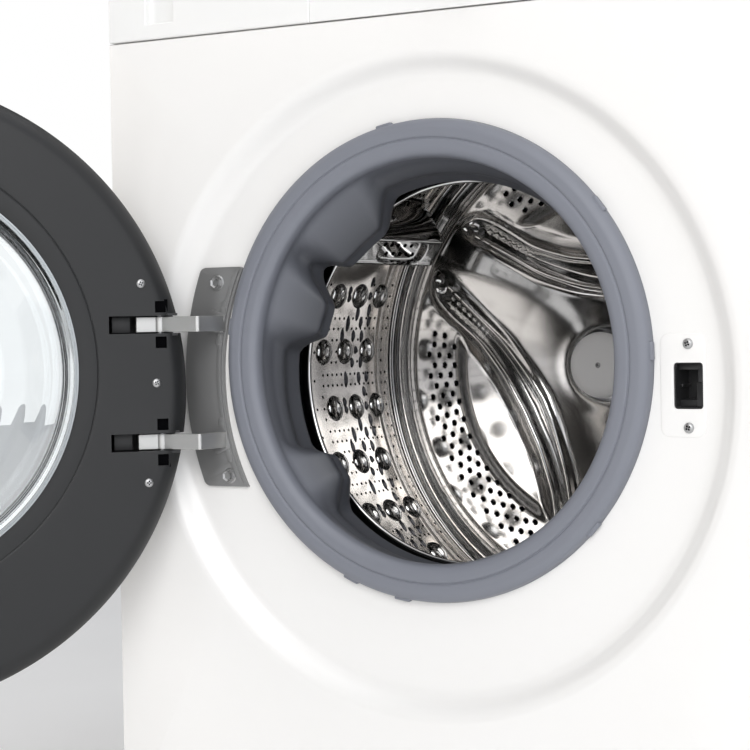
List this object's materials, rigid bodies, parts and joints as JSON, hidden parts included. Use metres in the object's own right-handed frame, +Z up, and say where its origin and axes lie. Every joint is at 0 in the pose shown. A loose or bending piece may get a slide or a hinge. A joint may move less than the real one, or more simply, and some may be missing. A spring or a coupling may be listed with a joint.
{
  "type": "front load washing machine",
  "caption": "White front load washing machine with a round door standing open on a two-armed hinge, a grey gasket and a perforated stainless drum.",
  "frame": {"origin": "on the floor, under the centre of the cabinet's footprint", "axes": "+Z up; +Y towards the back of the machine, so the door faces -Y; +X to the right seen from the front"},
  "size_m": [0.884, 0.9754, 0.85],
  "materials": {
    "cabinet_white": "warm white enamel with a soft gloss",
    "white_plastic": "moulded white, soft gloss",
    "galvanised": "zinc coated sheet",
    "grey_plastic": "filled polypropylene, matt",
    "black_plastic": "moulded black",
    "display_black": "clear-coated black window",
    "board_green": "lacquered circuit board",
    "hose_rubber": "matt moulded rubber",
    "gasket_rubber": "blue-grey moulded seal rubber, satin",
    "hinge_grey": "satin grey coated casting",
    "brushed_arm": "brushed along the arm",
    "screw_steel": "bright zinc",
    "cast_iron": "as cast",
    "winding": "enamelled winding on a laminated core",
    "bearing_steel": "ground steel",
    "stainless": "bright rolled stainless sheet, almost mirror",
    "cast_aluminium": "die cast",
    "hub_grey": "light grey moulded cap",
    "charcoal_plastic": "charcoal, fine satin grain",
    "black_gloss": "polished black",
    "tinted_glass": "dark tinted toughened glass",
    "ring_grey": "light grey trim ring",
    "clear_glass": "clear pressed glass",
    "knob_silver": "spun silver finish",
    "foot_rubber": "hard rubber pad on a threaded stud"
  },
  "bodies": {
    "cabinet": {"front_panel": "cabinet_white", "left_side_panel": "cabinet_white", "right_side_panel": "cabinet_white", "rear_panel": "galvanised", "base_pan": "grey_plastic", "lid": "white_plastic", "control_panel": "white_plastic", "display_window": "display_black", "control_board": "board_green", "inlet_valves": "black_plastic", "dispenser_housing": "grey_plastic", "dispenser_hose": "hose_rubber", "drain_pump": "grey_plastic", "drain_hose": "hose_rubber", "sump_hose": "hose_rubber", "gasket": "gasket_rubber", "hinge_plate": "hinge_grey", "hinge_arms": "brushed_arm", "front_panel_screws": "screw_steel", "door_lock": "black_plastic", "damper_cylinders": "galvanised", "springs": "screw_steel", "shipping_hole_caps": "white_plastic"},
    "tub": {"tub_front": "grey_plastic", "tub_rear": "grey_plastic", "tub_bolts": "screw_steel", "counterweight_upper": "cast_iron", "counterweight_lower": "cast_iron", "motor_stator": "winding", "bearings": "bearing_steel", "heater": "screw_steel", "damper_rods": "bearing_steel", "gasket_clamp": "screw_steel"},
    "drum": {"drum_front": "stainless", "drum_cylinder": "stainless", "drum_back": "stainless", "lifters": "stainless", "spider": "cast_aluminium", "drum_shaft": "bearing_steel", "rotor": "galvanised", "hub_cap": "hub_grey"},
    "door": {"door_inner_frame": "charcoal_plastic", "door_rim": "black_gloss", "door_outer_glass": "tinted_glass", "glass_ring": "ring_grey", "glass_bowl": "clear_glass", "door_hook": "cast_aluminium", "hinge_pins": "bearing_steel", "door_screws": "screw_steel"},
    "drawer": {"drawer_tray": "white_plastic", "drawer_front": "white_plastic"},
    "knob": {"program_knob": "knob_silver"},
    "power_button": {"power_button": "white_plastic"},
    "start_button": {"start_button": "white_plastic"},
    "filter_flap": {"filter_flap": "white_plastic"},
    "filter_plug": {"filter_plug": "black_plastic"},
    "foot_1": {"foot_1": "foot_rubber"},
    "foot_2": {"foot_2": "foot_rubber"},
    "foot_3": {"foot_3": "foot_rubber"},
    "foot_4": {"foot_4": "foot_rubber"}
  },
  "joints": [
    {"name": "tub_bounce", "type": "slide", "parent": "cabinet", "child": "tub", "axis": [0, 0, 1], "range_m": [-0.01, 0.01], "stiffness_N_per_m": 20000, "springref_m": 0.0174, "deforming": ["gasket", "springs", "sump_hose", "dispenser_hose"]},
    {"name": "drum_spin", "type": "hinge", "parent": "tub", "child": "drum", "pos_m": [0, 0, 0.4356], "axis": [0, 1, 0], "continuous": true},
    {"name": "door_hinge", "type": "hinge", "parent": "cabinet", "child": "door", "pos_m": [-0.2332, -0.3039, 0.4314], "axis": [0, 0, 1], "range_deg": [0, 133.6]},
    {"name": "drawer_slide", "type": "slide", "parent": "cabinet", "child": "drawer", "axis": [0, -1, 0], "range_m": [0, 0.18]},
    {"name": "knob_turn", "type": "hinge", "parent": "cabinet", "child": "knob", "pos_m": [0.04, -0.28, 0.772], "axis": [0, -1, 0], "continuous": true},
    {"name": "power_press", "type": "slide", "parent": "cabinet", "child": "power_button", "axis": [0, 1, 0], "range_m": [0, 0.002], "stiffness_N_per_m": 900, "springref_m": -0.001},
    {"name": "start_press", "type": "slide", "parent": "cabinet", "child": "start_button", "axis": [0, 1, 0], "range_m": [0, 0.002], "stiffness_N_per_m": 900, "springref_m": -0.001},
    {"name": "flap_hinge", "type": "hinge", "parent": "cabinet", "child": "filter_flap", "pos_m": [-0.202, -0.28, 0.048], "axis": [1, 0, 0], "range_deg": [0, 110]},
    {"name": "filter_turn", "type": "hinge", "parent": "cabinet", "child": "filter_plug", "pos_m": [-0.202, -0.256, 0.084], "axis": [0, -1, 0], "range_deg": [0, 270]},
    {"name": "foot_1_level", "type": "slide", "parent": "cabinet", "child": "foot_1", "axis": [0, 0, -1], "range_m": [0, 0.015]},
    {"name": "foot_2_level", "type": "slide", "parent": "cabinet", "child": "foot_2", "axis": [0, 0, -1], "range_m": [0, 0.015]},
    {"name": "foot_3_level", "type": "slide", "parent": "cabinet", "child": "foot_3", "axis": [0, 0, -1], "range_m": [0, 0.015]},
    {"name": "foot_4_level", "type": "slide", "parent": "cabinet", "child": "foot_4", "axis": [0, 0, -1], "range_m": [0, 0.015]}
  ]
}
